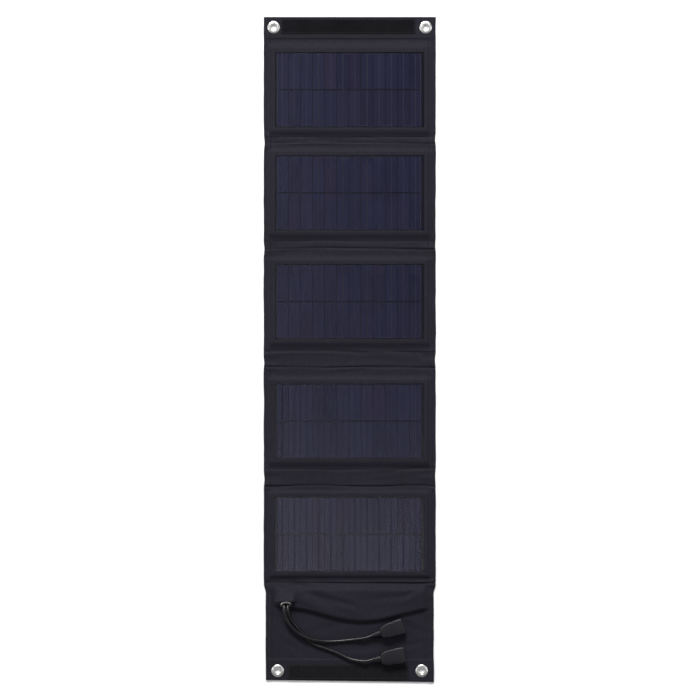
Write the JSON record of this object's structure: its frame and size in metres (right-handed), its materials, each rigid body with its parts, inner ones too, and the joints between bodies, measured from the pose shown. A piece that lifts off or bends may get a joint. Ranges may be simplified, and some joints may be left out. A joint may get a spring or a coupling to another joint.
{
  "type": "foldable solar charger",
  "caption": "Folding fabric strip with sewn-in solar laminates, corner eyelets, a regulator flap and short cables ending in power sockets.",
  "frame": {"origin": "centre of the strip's outline, on its back face", "axes": "+X across the strip to the side away from the cable outlet, +Y along the strip towards the plain end hem, +Z out of the windows, towards the light"},
  "size_m": [0.172, 0.664, 0.0116],
  "materials": {
    "cover_fabric": "near-black woven polyester, slight sheen",
    "lining_fabric": "black coated polyester",
    "hem_fabric": "near-black woven polyester, folded double",
    "hook": "black nylon hooks",
    "loop": "black nylon loops",
    "eyelet_metal": "nickel-plated, bright",
    "backsheet": "dark glass-fibre sheet",
    "cells": "dark blue silicon under film",
    "ribbons": "tinned copper, dulled by the film",
    "film": "clear film, satin gloss",
    "leads": "flat insulated copper",
    "case_plastic": "black moulded, matt",
    "circuit_board": "green lacquer",
    "cable_jacket": "black flexible jacket, satin",
    "socket_plastic": "black moulded, fine matt grain",
    "socket_metal": "nickel-plated",
    "tongue_plastic": "white moulded"
  },
  "bodies": {
    "panel_1": {"front_cover_1": "cover_fabric", "back_cover_1": "lining_fabric", "backsheet_1": "backsheet", "cells_1": "cells", "ribbons_1": "ribbons", "film_1": "film", "leads_1": "leads", "top_hem": "hem_fabric", "hook_strip": "hook", "top_eyelets": "eyelet_metal", "top_washers": "eyelet_metal"},
    "panel_2": {"front_cover_2": "cover_fabric", "back_cover_2": "lining_fabric", "backsheet_2": "backsheet", "cells_2": "cells", "ribbons_2": "ribbons", "film_2": "film", "leads_2": "leads"},
    "panel_3": {"front_cover_3": "cover_fabric", "back_cover_3": "lining_fabric", "backsheet_3": "backsheet", "cells_3": "cells", "ribbons_3": "ribbons", "film_3": "film", "leads_3": "leads"},
    "panel_4": {"front_cover_4": "cover_fabric", "back_cover_4": "lining_fabric", "backsheet_4": "backsheet", "cells_4": "cells", "ribbons_4": "ribbons", "film_4": "film", "leads_4": "leads"},
    "panel_5": {"front_cover_5": "cover_fabric", "back_cover_5": "lining_fabric", "backsheet_5": "backsheet", "cells_5": "cells", "ribbons_5": "ribbons", "film_5": "film", "leads_5": "leads"},
    "flap": {"flap_front": "cover_fabric", "flap_back": "lining_fabric", "flap_leads": "leads", "bottom_hem": "hem_fabric", "loop_strip": "loop", "bottom_eyelets": "eyelet_metal", "bottom_washers": "eyelet_metal", "cable_eyelet": "eyelet_metal", "cable_washer": "eyelet_metal", "regulator_base": "case_plastic", "regulator_board": "circuit_board", "regulator_lid": "case_plastic", "cable_1": "cable_jacket", "socket_housing_1": "socket_plastic", "socket_shell_1": "socket_metal", "socket_tongue_1": "tongue_plastic", "cable_2": "cable_jacket", "socket_housing_2": "socket_plastic", "socket_shell_2": "socket_metal", "socket_tongue_2": "tongue_plastic"}
  },
  "joints": [
    {"name": "fold_2", "type": "hinge", "parent": "panel_3", "child": "panel_2", "pos_m": [0, 0.10175, -0.0003], "axis": [-1, 0, 0], "range_deg": [0, 178]},
    {"name": "fold_1", "type": "hinge", "parent": "panel_2", "child": "panel_1", "pos_m": [0, 0.2075, 0.0044], "axis": [1, 0, 0], "range_deg": [0, 178]},
    {"name": "fold_3", "type": "hinge", "parent": "panel_3", "child": "panel_4", "pos_m": [0, -0.01225, 0.0044], "axis": [-1, 0, 0], "range_deg": [0, 178]},
    {"name": "fold_4", "type": "hinge", "parent": "panel_4", "child": "panel_5", "pos_m": [0, -0.1285, -0.0003], "axis": [1, 0, 0], "range_deg": [0, 178]},
    {"name": "flap_fold", "type": "hinge", "parent": "panel_5", "child": "flap", "pos_m": [0, -0.234, 0.0065], "axis": [-1, 0, 0], "range_deg": [0, 165]}
  ]
}
